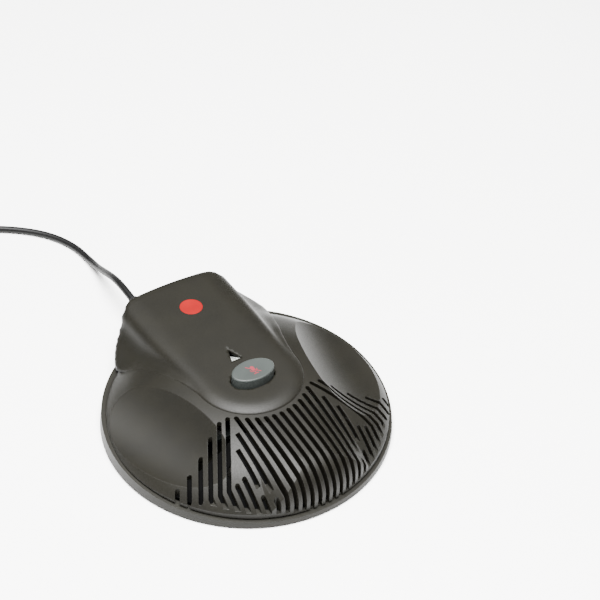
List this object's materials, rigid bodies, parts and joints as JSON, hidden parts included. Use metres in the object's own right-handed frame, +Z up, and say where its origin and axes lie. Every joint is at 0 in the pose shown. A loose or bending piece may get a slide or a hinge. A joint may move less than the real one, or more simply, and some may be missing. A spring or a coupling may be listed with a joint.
{
  "type": "tabletop boundary microphone",
  "caption": "Low round tabletop boundary microphone with a slotted grille, side scoops, a raised neck with an oval mute button, and a coiled lead ending in a modular plug.",
  "frame": {"origin": "middle of the body's footprint, on the table, without the lead", "axes": "+Z up, -Y towards the talker (grille), +Y towards the lead's exit"},
  "size_m": [0.1548, 0.2322, 0.0287],
  "materials": {
    "housing_plastic": "fine moulded texture, warm charcoal",
    "tray_plastic": "fine moulded texture, warm charcoal",
    "button_plastic": "satin grey-green",
    "clear_lens": "clear polycarbonate",
    "led_body": "diffused",
    "black_rubber": "matt",
    "silicone": "translucent grey",
    "foam": "open-cell foam",
    "circuit_board": "black solder mask",
    "chip_plastic": "moulded packages",
    "white_nylon": "natural nylon",
    "plated_steel": "zinc plated",
    "weight_steel": "zinc plated blank",
    "capsule_can": "satin",
    "contact_gold": "gold flash",
    "cord_jacket": "matt PVC",
    "plug_plastic": "clear polycarbonate",
    "tie_fabric": "hook-and-loop tape"
  },
  "bodies": {
    "housing": {"base_tray": "tray_plastic", "dome_housing": "housing_plastic", "neck_cover": "housing_plastic", "button_dome": "silicone", "light_pipe": "clear_lens", "status_led": "led_body", "main_board": "circuit_board", "board_chips": "chip_plastic", "lead_socket": "white_nylon", "lead_connector": "white_nylon", "mic_capsule": "capsule_can", "mic_boot": "black_rubber", "mic_cradle": "chip_plastic", "mic_leads": "cord_jacket", "acoustic_liner": "foam", "ballast_weight": "weight_steel", "housing_screws": "plated_steel", "cover_screws": "plated_steel", "board_screws": "plated_steel", "weight_screws": "plated_steel", "clamp_screws": "plated_steel", "rubber_feet": "black_rubber", "cord_clamp": "chip_plastic", "strain_relief": "black_rubber", "inner_lead": "cord_jacket", "cord_run": "cord_jacket", "cord_coil": "cord_jacket", "coil_tie": "tie_fabric", "cord_tail": "cord_jacket", "plug_body": "plug_plastic", "plug_contacts": "contact_gold", "plug_boot": "black_rubber"},
    "button": {"mute_button": "button_plastic"},
    "latch": {"plug_latch": "plug_plastic"}
  },
  "joints": [
    {"name": "mute_press", "type": "slide", "parent": "housing", "child": "button", "axis": [0, 0, -1], "range_m": [0, 0.001], "stiffness_N_per_m": 900, "deforming": ["button_dome"]},
    {"name": "latch_flex", "type": "hinge", "parent": "housing", "child": "latch", "pos_m": [-0.093, 0.0707, 0.00715], "axis": [1, 0, 0], "range_deg": [-8, 0], "stiffness_Nm_per_rad": 0.4}
  ]
}
